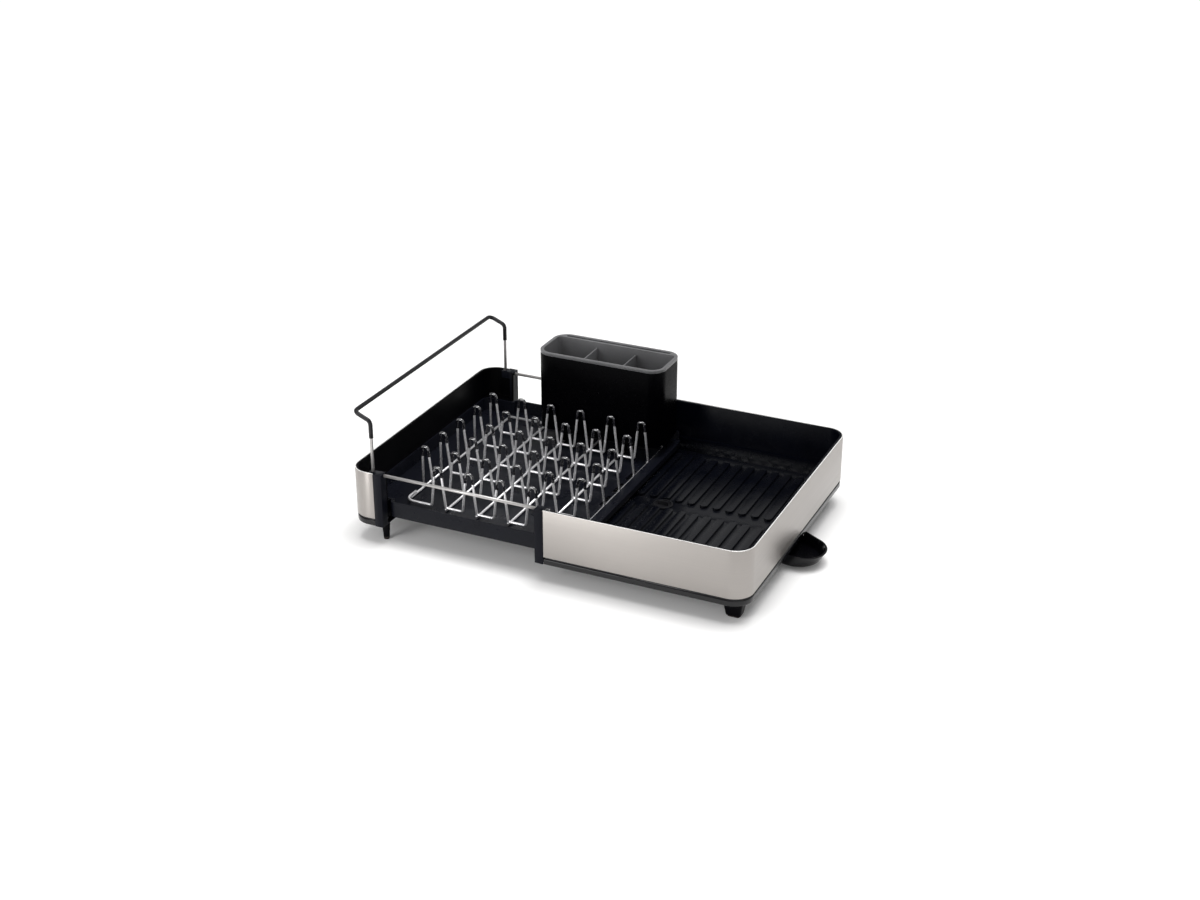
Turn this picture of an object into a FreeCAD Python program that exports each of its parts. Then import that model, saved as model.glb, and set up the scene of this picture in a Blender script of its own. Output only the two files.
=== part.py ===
import FreeCAD, Part
import math
import os
import Sketcher
from FreeCAD import Placement, Rotation, Vector

# Expandable dish rack. Millimetres, +Z up, standing on Z = 0, pulled out to its full width.
# X runs from the fixed left end to the sliding tray on the right, Y from the front to the back.
# The origin is the middle of the bottom of the whole rack, spout included.

document = FreeCAD.newDocument("dish_rack")
sheet = document.addObject("Spreadsheet::Sheet", "Sizes")

# Driving dimensions: name, size in millimetres (degrees for an angle), meaning
SIZES = [
    ("closed_width", 320, "band to band with the tray pushed in"),
    ("rack_depth", 370, "band to band, front to back"),
    ("tray_overlap", 44, "how much of the sliding tray stays under the pan"),
    ("spout_reach", 36, "how far the spout stands out past the right band"),
    ("band_top", 98.6, "top edge of the steel bands above the table"),
    ("band_bottom", 36, "bottom edge of the steel bands"),
    ("trim_bottom", 26, "underside of the plastic base trims"),
    ("corner_radius", 25, "outside corners in plan"),
    ("steel_thickness", 0.8, "steel bands"),
    ("seat_gap", 0.3, "clearance where a loose or running piece rests"),
    ("fixed_gap", 0.1, "clearance between pieces that are fixed together"),
    ("left_end", 48, "length of the fixed left end unit"),
    ("left_foot_place", 39.5, "left feet from the left band"),
    ("left_foot_inset", 20, "left feet from the front and back bands"),
    ("right_foot_place", 23.5, "right feet from the right band"),
    ("right_foot_inset", 27, "right feet from the front and back bands"),
    ("post_width", 7, "solid part of each end post"),
    ("post_cover", 4.5, "thin cover of each post over the end of its band"),
    ("shell_wall", 3.2, "upper wall of the left shell"),
    ("wall_drop", 0.6, "how much lower the plastic walls are than the steel"),
    ("ledge_drop", 0.3, "ledge of the left shell below the pan's rim"),
    ("pan_inset", 12, "pan walls from the front and back bands"),
    ("pan_start", 5.2, "pan from the left band"),
    ("pan_end_gap", 17, "pan from the right band with the tray pushed in"),
    ("pan_wall", 2.5, "pan walls"),
    ("pan_clearance", 5.3, "pan above the ribs of the sliding tray"),
    ("pan_thickness", 2.2, "pan floor"),
    ("pan_depth", 17.8, "rim of the pan above its floor"),
    ("pan_corner", 10, "corners of the pan in plan"),
    ("pan_neck", 8, "how much the pan narrows on each side inside the left end"),
    ("lip_rise", 6, "flat lip along the right edge of the pan, above its floor"),
    ("lip_width", 14, "width of that lip"),
    ("tray_floor", 29, "top of the sliding tray floor"),
    ("tray_thickness", 2.5, "sliding tray floor"),
    ("tray_wall", 3.7, "upper wall of the sliding tray"),
    ("tray_step", 48, "height of the step inside the tray walls"),
    ("tray_step_depth", 4.5, "depth of that step"),
    ("tray_foot_inset", 4, "lower wall of the tray from the bands"),
    ("rib_rise", 3.5, "ribs on the tray floor"),
    ("rib_width", 10, "width of a rib"),
    ("rib_margin", 22, "first rib from the left end of the tray floor"),
    ("rib_end", 8, "last rib from the step at the right end"),
    ("rib_setback", 25, "ribs from the front and back bands"),
    ("channel_shift", 14.5, "drain channel behind the middle of the rack"),
    ("channel_width", 22, "drain channel between the two groups of ribs"),
    ("plug_place", 83, "drain plug from the left end of the tray"),
    ("plug_hole", 9.3, "radius of the plug hole"),
    ("plug_dish", 13.5, "radius of the dish round the plug hole"),
    ("gutter_half", 15, "half width of the gutter under the tray"),
    ("gutter_depth", 11, "depth of the gutter"),
    ("spout_place", 38, "spout pivot from the right band"),
    ("spout_turn", -20, "spout direction at rest, degrees from straight out"),
    ("spout_hub", 33, "radius of the spout round its pivot"),
    ("spout_nose", 29, "radius of the spout's nose"),
    ("spout_rake", 12, "how far the nose leans out"),
    ("spout_wall", 1.8, "spout walls"),
    ("spout_clearance", 1.5, "rim of the spout below the trim, at its hub"),
    ("spout_fall", 6.5, "how much lower the rim is at the nose"),
    ("spout_base", 4.5, "underside of the spout"),
    ("rod_radius", 2, "guide rods"),
    ("rod_inset", 7.8, "guide rods from the front and back bands"),
    ("rod_drop", 3.1, "guide rods below the band top"),
    ("rail_place", 33, "legs of the side rail from the left band"),
    ("rail_shoulder", 166, "height where the side rail leans out"),
    ("rail_height", 175.5, "top bar of the side rail"),
    ("rail_top_place", 10.5, "top bar of the side rail from the left band"),
    ("rail_sleeve", 0.7, "wall of the coating on the side rail"),
    ("rail_sleeve_start", 144, "height where that coating starts"),
    ("wire_radius", 1.6, "plate rack wire"),
    ("rack_start", 53, "left runner wire from the left band"),
    ("first_column", 57.3, "first column of prongs from the left band"),
    ("first_row", 47.8, "front row wire from the front band"),
    ("rack_back", 40, "back wire from the back band"),
    ("prong_top", 101.2, "top of the coated prongs"),
    ("prong_foot", 9.95, "half width of a prong at its foot"),
    ("prong_head", 3.9, "half width of a prong at its head"),
    ("tip_sleeve", 0.35, "wall of the coating on the prong tips"),
    ("tip_length", 12.5, "height of the coating on the prong tips"),
    ("caddy_length", 180, "cutlery caddy"),
    ("caddy_depth", 75, "cutlery caddy"),
    ("caddy_back", 13, "cutlery caddy from the back band"),
    ("caddy_corner", 20, "rounded ends of the caddy in plan"),
    ("caddy_clearance", 4.2, "underside of the caddy above the pan's rim"),
    ("caddy_height", 109.8, "rim of the caddy above its underside"),
    ("caddy_wall", 2.4, "outer shell of the caddy"),
    ("caddy_floor", 2, "floors of the shell and of the liner"),
    ("drain_hole", 2.6, "radius of the drain holes in those floors"),
    ("liner_wall", 1.9, "grey liner of the caddy"),
    ("liner_rim", 3.5, "height of the liner's rim"),
    ("knife_slot", 5, "width of the knife slot"),
    ("knife_wall", 3, "wall between the knife slot and the compartments"),
]

for row_number, (alias, number, meaning) in enumerate(SIZES, start=1):
    sheet.set("A%d" % row_number, alias.replace("_", " "))
    sheet.set("B%d" % row_number, str(number))
    sheet.set("C%d" % row_number, meaning)
    sheet.setAlias("B%d" % row_number, alias)
document.recompute()

# Counts
ROWS = 6
COLUMNS = 6
RIBS = 14
CADDY_DIVIDERS = 2


class Size:
    """A number with the formula that gives it from the sheet, so that an object can be bound to it."""

    def __init__(self, value, formula):
        self.value = value
        self.formula = formula

    def __float__(self):
        return float(self.value)

    def __add__(self, other):
        other = as_size(other)
        return Size(self.value + other.value, "(%s + %s)" % (self.formula, other.formula))

    def __sub__(self, other):
        other = as_size(other)
        return Size(self.value - other.value, "(%s - %s)" % (self.formula, other.formula))

    def __mul__(self, other):
        other = as_size(other)
        return Size(self.value * other.value, "(%s * %s)" % (self.formula, other.formula))

    def __truediv__(self, other):
        other = as_size(other)
        return Size(self.value / other.value, "(%s / %s)" % (self.formula, other.formula))

    def __neg__(self):
        return Size(-self.value, "(0 - %s)" % self.formula)

    __radd__ = __add__
    __rmul__ = __mul__

    def __rsub__(self, other):
        return as_size(other) - self


def as_size(number):
    """A plain number as a Size."""
    if isinstance(number, Size):
        return number
    return Size(float(number), repr(float(number)))


def size(alias):
    """The sheet's value of that name."""
    return Size(float(sheet.get(alias)), "Sizes." + alias)


# Sheet values by name
closed_width = size("closed_width")
rack_depth = size("rack_depth")
band_top = size("band_top")
band_bottom = size("band_bottom")
trim_bottom = size("trim_bottom")
corner_radius = size("corner_radius")
steel = size("steel_thickness")
seat_gap = size("seat_gap")
fixed_gap = size("fixed_gap")
left_end = size("left_end")
post_width = size("post_width")
post_cover = size("post_cover")
pan_inset = size("pan_inset")
pan_wall = size("pan_wall")
tray_floor = size("tray_floor")
tray_step = size("tray_step")
rod_radius = size("rod_radius")
rod_inset = size("rod_inset")
wire_radius = size("wire_radius")
pan_neck = size("pan_neck")

# Places worked out from them. Names that end in _x, _y or _z are places in the rack's frame
END_GAP = 1.0
travel = closed_width - size("pan_end_gap") - size("tray_overlap") - left_end - END_GAP
full_width = closed_width + travel
left_x = -(full_width + size("spout_reach")) / 2
right_x = left_x + full_width
half_depth = rack_depth / 2
post_x = left_x + left_end - post_width
tray_x = left_x + left_end + END_GAP + travel
tray_wall_x = tray_x + post_width
tray_band_x = tray_wall_x + post_cover
pan_left_x = left_x + size("pan_start")
pan_right_x = left_x + closed_width - size("pan_end_gap")
wall_top_z = band_top - size("wall_drop")
rod_z = band_top - size("rod_drop")
tray_under_z = tray_floor - size("tray_thickness")
rib_top_z = tray_floor + size("rib_rise")
pan_under_z = rib_top_z + size("pan_clearance")
pan_floor = pan_under_z + size("pan_thickness")
pan_rim = pan_floor + size("pan_depth")
lip_top = pan_floor + size("lip_rise")
caddy_base_z = pan_rim + size("caddy_clearance")
caddy_top_z = caddy_base_z + size("caddy_height")
ledge_height = pan_rim - size("ledge_drop")
channel_y = size("channel_shift")
plug_x = tray_x + size("plug_place")
spout_x = right_x - size("spout_place")

pieces = {}
sketch_count = 0


# Helpers

def bind(item, property_name, value):
    """Bind one property of a document object to a Size."""
    item.setExpression(property_name, as_size(value).formula)


def keep(name, item):
    """Register a finished sub-part under the name of its file."""
    item.Label = name
    pieces[name] = item
    return item


def new_body(name):
    """An empty body for one sub-part."""
    return keep(name, document.addObject("PartDesign::Body", name))


def new_sketch(body, role, offset):
    """A sketch on one of the body's own origin planes, moved along the plane's normal."""
    global sketch_count
    sketch_count += 1
    sketch = body.newObject("Sketcher::SketchObject", "Sketch%d" % sketch_count)
    support = [item for item in body.Origin.OriginFeatures if item.Role == role][0]
    sketch.AttachmentSupport = [(support, "")]
    sketch.MapMode = "FlatFace"
    bind(sketch, "AttachmentOffset.Base.z", offset)
    return sketch


def constrain(sketch, *description):
    """Add a constraint whose last argument is a Size, and bind it."""
    value = as_size(description[-1])
    index = sketch.addConstraint(Sketcher.Constraint(*description[:-1], float(value)))
    bind(sketch, "Constraints[%d]" % index, value)


def angle_of(vector):
    return math.atan2(vector.y, vector.x)


def corner_arc(entry, leave, centre, radius, turns_left):
    """The sketch arc of one rounded corner, always drawn anticlockwise."""
    begin, end = (entry, leave) if turns_left else (leave, entry)
    circle = Part.Circle(centre, Vector(0, 0, 1), radius)
    return Part.ArcOfCircle(circle, angle_of(begin - centre), angle_of(end - centre))


def draw_outline(sketch, corners):
    """A closed outline of level and upright lines; each corner is (x, y) or (x, y, radius)."""
    count = len(corners)
    points = [Vector(float(corner[0]), float(corner[1]), 0) for corner in corners]
    radii = [corner[2] if len(corner) > 2 else None for corner in corners]
    ahead = [(points[(i + 1) % count] - points[i]).normalize() for i in range(count)]
    entries = []
    leaves = []
    for i in range(count):
        radius = float(radii[i]) if radii[i] is not None else 0.0
        entries.append(points[i] - ahead[i - 1] * radius)
        leaves.append(points[i] + ahead[i] * radius)
    lines = []
    for i in range(count):
        line = sketch.addGeometry(Part.LineSegment(leaves[i], entries[(i + 1) % count]), False)
        lines.append(line)
        if abs(ahead[i].x) > abs(ahead[i].y):
            sketch.addConstraint(Sketcher.Constraint("Horizontal", line))
            constrain(sketch, "DistanceY", -1, 1, line, 1, corners[i][1])
        else:
            sketch.addConstraint(Sketcher.Constraint("Vertical", line))
            constrain(sketch, "DistanceX", -1, 1, line, 1, corners[i][0])
    for i in range(count):
        before = lines[i - 1]
        after = lines[i]
        if radii[i] is None:
            sketch.addConstraint(Sketcher.Constraint("Coincident", before, 2, after, 1))
            continue
        turns_left = ahead[i - 1].cross(ahead[i]).z > 0
        centre = entries[i] + ahead[i] * float(radii[i])
        arc = sketch.addGeometry(
            corner_arc(entries[i], leaves[i], centre, float(radii[i]), turns_left), False)
        arc_entry, arc_leave = (1, 2) if turns_left else (2, 1)
        sketch.addConstraint(Sketcher.Constraint("Tangent", before, 2, arc, arc_entry))
        sketch.addConstraint(Sketcher.Constraint("Tangent", arc, arc_leave, after, 1))
        constrain(sketch, "Radius", arc, radii[i])


def draw_circle(sketch, x, y, radius):
    circle = Part.Circle(Vector(float(x), float(y), 0), Vector(0, 0, 1), float(radius))
    index = sketch.addGeometry(circle, False)
    constrain(sketch, "DistanceX", -1, 1, index, 3, x)
    constrain(sketch, "DistanceY", -1, 1, index, 3, y)
    constrain(sketch, "Radius", index, radius)


def draw_teardrop(sketch, length, near_radius, far_radius):
    """A circle round the local origin and one `length` along X, joined by their outer tangents."""
    reach = float(length)
    near_size = float(near_radius)
    far_size = float(far_radius)
    lean = math.asin((far_size - near_size) / reach)
    rise = math.cos(lean)
    slope = math.sin(lean)
    near_tangent = Vector(-near_size * slope, near_size * rise, 0)
    far_tangent = Vector(reach - far_size * slope, far_size * rise, 0)
    near_low = Vector(near_tangent.x, -near_tangent.y, 0)
    far_low = Vector(far_tangent.x, -far_tangent.y, 0)
    up = Vector(0, 0, 1)
    quarter = math.pi / 2
    near = sketch.addGeometry(Part.ArcOfCircle(
        Part.Circle(Vector(0, 0, 0), up, near_size), quarter + lean, 3 * quarter - lean), False)
    low = sketch.addGeometry(Part.LineSegment(near_low, far_low), False)
    far = sketch.addGeometry(Part.ArcOfCircle(
        Part.Circle(Vector(reach, 0, 0), up, far_size), -quarter - lean, quarter + lean), False)
    high = sketch.addGeometry(Part.LineSegment(far_tangent, near_tangent), False)
    sketch.addConstraint(Sketcher.Constraint("Coincident", near, 3, -1, 1))
    sketch.addConstraint(Sketcher.Constraint("PointOnObject", far, 3, -1))
    sketch.addConstraint(Sketcher.Constraint("Tangent", near, 2, low, 1))
    sketch.addConstraint(Sketcher.Constraint("Tangent", low, 2, far, 1))
    sketch.addConstraint(Sketcher.Constraint("Tangent", far, 2, high, 1))
    sketch.addConstraint(Sketcher.Constraint("Tangent", high, 2, near, 1))
    constrain(sketch, "Radius", near, near_radius)
    constrain(sketch, "Radius", far, far_radius)
    constrain(sketch, "DistanceX", -1, 1, far, 3, length)


def extrude(body, kind, sketch, length):
    """A Pad that rises from its sketch, or a Pocket that cuts down from it."""
    feature = body.newObject("PartDesign::" + kind, kind)
    feature.Profile = sketch
    bind(feature, "Length", length)
    sketch.Visibility = False
    return feature


def rectangle(x_range, y_range, radius=None):
    """The four corners of an upright rectangle, rounded if a radius is given."""
    tail = () if radius is None else (radius,)
    return [
        (x_range[0], y_range[0]) + tail,
        (x_range[1], y_range[0]) + tail,
        (x_range[1], y_range[1]) + tail,
        (x_range[0], y_range[1]) + tail,
    ]


def slab(body, corners, low_z, high_z):
    """Add a flat slab with that outline."""
    sketch = new_sketch(body, "XY_Plane", low_z)
    draw_outline(sketch, corners)
    return extrude(body, "Pad", sketch, high_z - low_z)


def cut_down(body, corners, high_z, low_z):
    """Cut that outline out, from above down to low_z."""
    sketch = new_sketch(body, "XY_Plane", high_z)
    draw_outline(sketch, corners)
    return extrude(body, "Pocket", sketch, high_z - low_z)


def post_round(body, x, y, radius, low_z, high_z):
    """Add an upright round boss."""
    sketch = new_sketch(body, "XY_Plane", low_z)
    draw_circle(sketch, x, y, radius)
    return extrude(body, "Pad", sketch, high_z - low_z)


def drill_down(body, places, radius, high_z, low_z):
    """Upright round holes, from above down to low_z."""
    sketch = new_sketch(body, "XY_Plane", high_z)
    for x, y in places:
        draw_circle(sketch, x, y, radius)
    return extrude(body, "Pocket", sketch, high_z - low_z)


def horseshoe(open_x, closed_x, inner_x, outer_y, inner_y, outer_radius, inner_radius):
    """A wall in plan that goes round one end of the rack and is open at open_x.
    closed_x and inner_x are its two faces at the closed end, outer_y and inner_y its faces
    at the back, which the front mirrors."""
    return [
        (open_x, -outer_y),
        (closed_x, -outer_y, outer_radius),
        (closed_x, outer_y, outer_radius),
        (open_x, outer_y),
        (open_x, inner_y),
        (inner_x, inner_y, inner_radius),
        (inner_x, -inner_y, inner_radius),
        (open_x, -inner_y),
    ]


def left_wall(body, open_x, inset, inner, low_z, high_z):
    """A wall round the left end, from `inset` to `inner` inside the band's outer face."""
    slab(body, horseshoe(open_x, left_x + inset, left_x + inner, half_depth - inset,
                         half_depth - inner, corner_radius - inset, corner_radius - inner),
         low_z, high_z)


def right_wall(body, open_x, inset, inner, low_z, high_z):
    """The same round the right end."""
    slab(body, horseshoe(open_x, right_x - inset, right_x - inner, half_depth - inset,
                         half_depth - inner, corner_radius - inset, corner_radius - inner),
         low_z, high_z)


def across(side, near, far):
    """The Y range from `near` to `far` inside the front (side -1) or back (side 1) band face."""
    if side < 0:
        return (near - half_depth, far - half_depth)
    return (half_depth - far, half_depth - near)


def route(points, bends):
    """Straight runs joined by tangent arcs; bends gives the radius at each inner point."""
    edges = []
    start = points[0]
    for i in range(1, len(points) - 1):
        corner = points[i]
        back = (points[i - 1] - corner).normalize()
        on = (points[i + 1] - corner).normalize()
        turn = math.pi - back.getAngle(on)
        reach = bends[i - 1] * math.tan(turn / 2)
        entry = corner + back * reach
        leave = corner + on * reach
        middle_way = (back + on).normalize()
        centre = corner + middle_way * (bends[i - 1] / math.cos(turn / 2))
        middle = centre - middle_way * bends[i - 1]
        if (entry - start).Length > 1e-6:
            edges.append(Part.LineSegment(start, entry).toShape())
        edges.append(Part.Arc(entry, middle, leave).toShape())
        start = leave
    edges.append(Part.LineSegment(start, points[-1]).toShape())
    return Part.Wire(edges)


def swept(path, radius):
    """A round wire along the route, as a solid."""
    first = path.Edges[0]
    start = first.valueAt(first.FirstParameter)
    direction = first.tangentAt(first.FirstParameter)
    profile = Part.Wire([Part.Circle(start, direction, radius).toShape()])
    return path.makePipeShell([profile], True, False)


def sleeve(path, radius, wall):
    """A thin coating round a wire of that radius."""
    return swept(path, radius + wall).cut(swept(path, radius))


def add_shape(name, shapes):
    """One node from one or more separate solids."""
    item = document.addObject("Part::Feature", name)
    item.Shape = shapes[0] if len(shapes) == 1 else Part.makeCompound(shapes)
    return keep(name, item)


SCREW_HEAD = (3.2, 2.0)
SMALL_SCREW_HEAD = (2.6, 1.2)
SCREW_SHANK = 1.4
SMALL_SCREW_SHANK = 1.2
RECESS_REACH = 1.2
RECESS_WIDTH = 0.8
RECESS_DEPTH = 1.1


def screw(x, y, head_z, tip_z, head_size=SCREW_HEAD, shank_radius=SCREW_SHANK):
    """A pan-head screw that points from its head to its tip, with a cross recess in the head."""
    head_radius, head_height = head_size
    towards = 1 if tip_z > head_z else -1
    down = Vector(0, 0, towards)
    head = Part.makeCylinder(head_radius, head_height, Vector(x, y, head_z - towards * head_height), down)
    shank_length = abs(tip_z - head_z) - shank_radius
    shank = Part.makeCylinder(shank_radius, shank_length, Vector(x, y, head_z), down)
    tip_start = Vector(x, y, tip_z - towards * shank_radius)
    tip = Part.makeCone(shank_radius, shank_radius / 4, shank_radius, tip_start, down)
    solid = head.fuse([shank, tip])
    slot_length = head_radius * RECESS_REACH
    low = head_z - head_height if towards > 0 else head_z + head_height - RECESS_DEPTH
    for long_x, long_y in ((slot_length, RECESS_WIDTH), (RECESS_WIDTH, slot_length)):
        corner = Vector(x - long_x / 2, y - long_y / 2, low)
        solid = solid.cut(Part.makeBox(long_x, long_y, RECESS_DEPTH, corner))
    return solid.removeSplitter()


# Fixed left end: base, shell, steel band, posts

SCREW_BOSS = 4.0
SCREW_HOLE = 1.6
SCREW_PILOT = 1.45
BASE_PLATE = 2.4
BASE_SCREW_LENGTH = 9.5
FOOT_SCREW_LENGTH = 11.5
# from the left band, and from the front or back band
BASE_SCREWS = ((14.0, 36.0), (36.0, 60.0))
base_top_z = trim_bottom + BASE_PLATE
base_boss_places = [
    (left_x + along, side * (half_depth - inset)) for along, inset in BASE_SCREWS for side in (-1, 1)
]
left_foot_places = [
    (left_x + size("left_foot_place"), side * (half_depth - size("left_foot_inset"))) for side in (-1, 1)
]
TRIM_INSET = 0.4
TRIM_WALL = 3.4
TRIM_GROOVE = 3.0
TRIM_GROOVE_DEPTH = 1.6
LEDGE_THICKNESS = 2.2
RETURN_WALL = 2.5
RETURN_REACH = 14.5
FOOT_TIP = 4.0
FOOT_LOW_RADIUS = 4.0
FOOT_TOP_RADIUS = 5.4
FOOT_PILOT_DEPTH = 11.0
FOOT_TIP_TAPER = 0.4
FOOT_TIP_ROUND = 0.8
LEDGE_GRIP = 1.0
# a post's solid socket holds the side rail's leg and the end of the guide rod
SOCKET_REACH = 4.5
SOCKET_DEPTH = 10.6
SOCKET_TOP = 0.4
BLOCK_GAP = 0.4
ROD_FIT = 0.02
ROD_HOLE_END = 3.0
RAIL_HOLE_DEPTH = 8.6
RAIL_LEG_DEPTH = 8.4


def make_left_base():
    body = new_body("left_base")
    end_x = left_x + left_end - post_width - post_cover
    groove_z = band_bottom - TRIM_GROOVE
    for inset, top_z in ((TRIM_INSET, groove_z), (TRIM_INSET + TRIM_GROOVE_DEPTH, band_bottom)):
        outer_y = half_depth - inset
        radius = corner_radius - inset
        slab(body, [(end_x, -outer_y), (end_x, outer_y), (left_x + inset, outer_y, radius),
                    (left_x + inset, -outer_y, radius)], trim_bottom, top_z)
    inner = TRIM_INSET + TRIM_WALL
    inner_y = half_depth - inner
    inner_radius = corner_radius - inner
    cut_down(body, [(end_x + 1, -inner_y), (end_x + 1, inner_y), (left_x + inner, inner_y, inner_radius),
                    (left_x + inner, -inner_y, inner_radius)], band_bottom, base_top_z)
    plate_y = half_depth - pan_inset - fixed_gap
    slab(body, rectangle((end_x - 1, left_x + left_end), (-plate_y, plate_y)), trim_bottom, base_top_z)
    drill_down(body, base_boss_places + left_foot_places, SCREW_HOLE, base_top_z, trim_bottom)


def make_left_shell():
    """The liner of the steel band, with a ledge round the pan and return walls at its open end."""
    body = new_body("left_shell")
    left_wall(body, post_x, steel, steel + size("shell_wall"), band_bottom, wall_top_z)
    outer = steel + LEDGE_GRIP
    ledge_low = ledge_height - LEDGE_THICKNESS
    pan_side = pan_inset + pan_neck - seat_gap
    slab(body, horseshoe(post_x, left_x + outer, pan_left_x - seat_gap, half_depth - outer,
                         half_depth - pan_side, corner_radius - outer, size("pan_corner") + seat_gap),
         ledge_low, ledge_height)
    end_x = left_x + left_end
    post_back = pan_inset - seat_gap + fixed_gap
    for side in (-1, 1):
        slab(body, rectangle((post_x - 1, end_x), across(side, post_back, pan_side)),
             ledge_low, ledge_height)
        slab(body, rectangle((end_x - RETURN_WALL, end_x), across(side, post_back, pan_side)),
             band_bottom, ledge_height)
        slab(body, rectangle((end_x - RETURN_WALL, end_x), across(side, post_back, RETURN_REACH)),
             ledge_low, wall_top_z)


def make_left_band():
    body = new_body("left_steel_band")
    left_wall(body, post_x - post_cover - fixed_gap * 2, 0.0, steel, band_bottom, band_top)


def drill_along(body, y, z, radius, from_x, length):
    """A round hole along X that starts at from_x and runs towards -X."""
    sketch = new_sketch(body, "YZ_Plane", from_x)
    draw_circle(sketch, y, z, radius)
    return extrude(body, "Pocket", sketch, length)


def make_left_post(name, side):
    body = new_body(name)
    end_x = left_x + left_end
    slab(body, rectangle((post_x, end_x), across(side, 0.0, pan_inset - seat_gap)), trim_bottom, band_top)
    slab(body, rectangle((post_x - post_cover, post_x + 1), across(side, 0.0, steel)), trim_bottom, band_top)
    socket_x = left_x + size("rail_place") - SOCKET_REACH
    inner = steel + size("shell_wall") + fixed_gap
    slab(body, rectangle((socket_x, post_x + 1), across(side, inner, pan_inset - BLOCK_GAP)),
         band_top - SOCKET_DEPTH, band_top - SOCKET_TOP)
    rod_y = side * (half_depth - rod_inset)
    drill_along(body, rod_y, rod_z, rod_radius + ROD_FIT, end_x,
                left_end - size("rail_place") - ROD_HOLE_END)
    drill_down(body, [(left_x + size("rail_place"), rod_y)], rod_radius + ROD_FIT, band_top,
               band_top - RAIL_HOLE_DEPTH)


def make_left_feet():
    for name, (x, y) in zip(("front_left_foot", "back_left_foot"), left_foot_places):
        peg = document.addObject("Part::Cone", name + "_peg")
        bind(peg, "Radius1", FOOT_LOW_RADIUS)
        bind(peg, "Radius2", FOOT_TOP_RADIUS)
        bind(peg, "Height", trim_bottom - FOOT_TIP)
        pilot = document.addObject("Part::Cylinder", name + "_pilot")
        bind(pilot, "Radius", SCREW_PILOT)
        bind(pilot, "Height", FOOT_PILOT_DEPTH)
        for item, low_z in ((peg, FOOT_TIP), (pilot, trim_bottom - FOOT_PILOT_DEPTH)):
            bind(item, "Placement.Base.x", x)
            bind(item, "Placement.Base.y", y)
            bind(item, "Placement.Base.z", low_z)
        foot = document.addObject("Part::Cut", name)
        foot.Base = peg
        foot.Tool = pilot
        keep(name, foot)


def make_left_foot_tips():
    tips = []
    for x, y in left_foot_places:
        low_radius = FOOT_LOW_RADIUS - FOOT_TIP_TAPER
        tip = Part.makeCone(low_radius, FOOT_LOW_RADIUS, FOOT_TIP, Vector(float(x), float(y), 0))
        low_edges = [edge for edge in tip.Edges if edge.BoundBox.ZMax < 0.01]
        tips.append(tip.makeFillet(FOOT_TIP_ROUND, low_edges))
    add_shape("left_foot_tips", tips)


def make_left_screws():
    plate = float(base_top_z)
    under = float(trim_bottom)
    add_shape("left_base_screws",
              [screw(float(x), float(y), under, under + BASE_SCREW_LENGTH) for x, y in base_boss_places])
    add_shape("left_foot_screws",
              [screw(float(x), float(y), plate, plate - FOOT_SCREW_LENGTH) for x, y in left_foot_places])


# Pan of the fixed unit

LIP_FOLD = 2.2
LIP_RAMP = 8.0
SLOT_HALF_WIDTH = 2.4
SLOT_HALF_LENGTH = 14.0
SLOT_PITCH = 40.0
BOSS_PILOT_DEPTH = 8.0
NECK_PLACE = 2.0
# keeps a rounded corner just short of the half width that it lies in
CORNER_MARGIN = 0.1
NECK_MARGIN = 0.4
FOLD_CORNER = 3.0
GLIDE_LENGTH = 12.0
GLIDE_WIDTH = 8.0
GLIDE_INSET = 1.2
GLIDE_PLACE = 29.0


def pan_outline(inset, end_x):
    """The pan in plan, `inset` inside its outer face; it narrows where it enters the left end."""
    wide = half_depth - pan_inset - inset
    narrow = wide - pan_neck
    neck_x = left_x + left_end + NECK_PLACE + inset
    start_x = pan_left_x + inset
    bend = pan_neck - NECK_MARGIN - inset
    corner = size("pan_corner") - inset
    return [
        (neck_x, -wide, bend),
        (end_x, -wide, corner),
        (end_x, wide, corner),
        (neck_x, wide, bend),
        (neck_x, narrow),
        (start_x, narrow, corner),
        (start_x, -narrow, corner),
        (neck_x, -narrow),
    ]


def make_pan():
    body = new_body("main_tray")
    inner_y = half_depth - pan_inset - pan_wall
    lip_x = pan_right_x - size("lip_width")
    slab(body, pan_outline(0.0, pan_right_x), pan_under_z, pan_rim)
    cut_down(body, pan_outline(pan_wall, lip_x), pan_rim, pan_floor)
    cut_down(body, rectangle((lip_x - LIP_RAMP, pan_right_x + 1), (-inner_y, inner_y)), pan_rim, lip_top)
    # the lip is a folded edge, open from below
    under = new_sketch(body, "XY_Plane", pan_under_z)
    draw_outline(under, rectangle((lip_x + LIP_FOLD, pan_right_x - LIP_FOLD), (-inner_y, inner_y),
                                  FOLD_CORNER))
    extrude(body, "Pocket", under, lip_top - LIP_FOLD - pan_under_z).Reversed = True
    # drain slots, over the sliding tray in every position
    slots = new_sketch(body, "XY_Plane", pan_floor)
    slot_x = lip_x - SLOT_HALF_WIDTH * 4
    for shift in (-SLOT_PITCH, 0.0, SLOT_PITCH):
        slot_y = channel_y + shift
        draw_outline(slots, rectangle((slot_x - SLOT_HALF_WIDTH, slot_x + SLOT_HALF_WIDTH),
                                      (slot_y - SLOT_HALF_LENGTH, slot_y + SLOT_HALF_LENGTH),
                                      SLOT_HALF_WIDTH - CORNER_MARGIN))
    extrude(body, "Pocket", slots, pan_floor - pan_under_z + 1)
    # screw bosses that stand on the base of the left end
    for x, y in base_boss_places:
        post_round(body, x, y, SCREW_BOSS, base_top_z + fixed_gap, pan_under_z + 0.5)
    holes = new_sketch(body, "XY_Plane", base_top_z)
    for x, y in base_boss_places:
        draw_circle(holes, x, y, SCREW_PILOT)
    extrude(body, "Pocket", holes, BOSS_PILOT_DEPTH).Reversed = True


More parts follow.
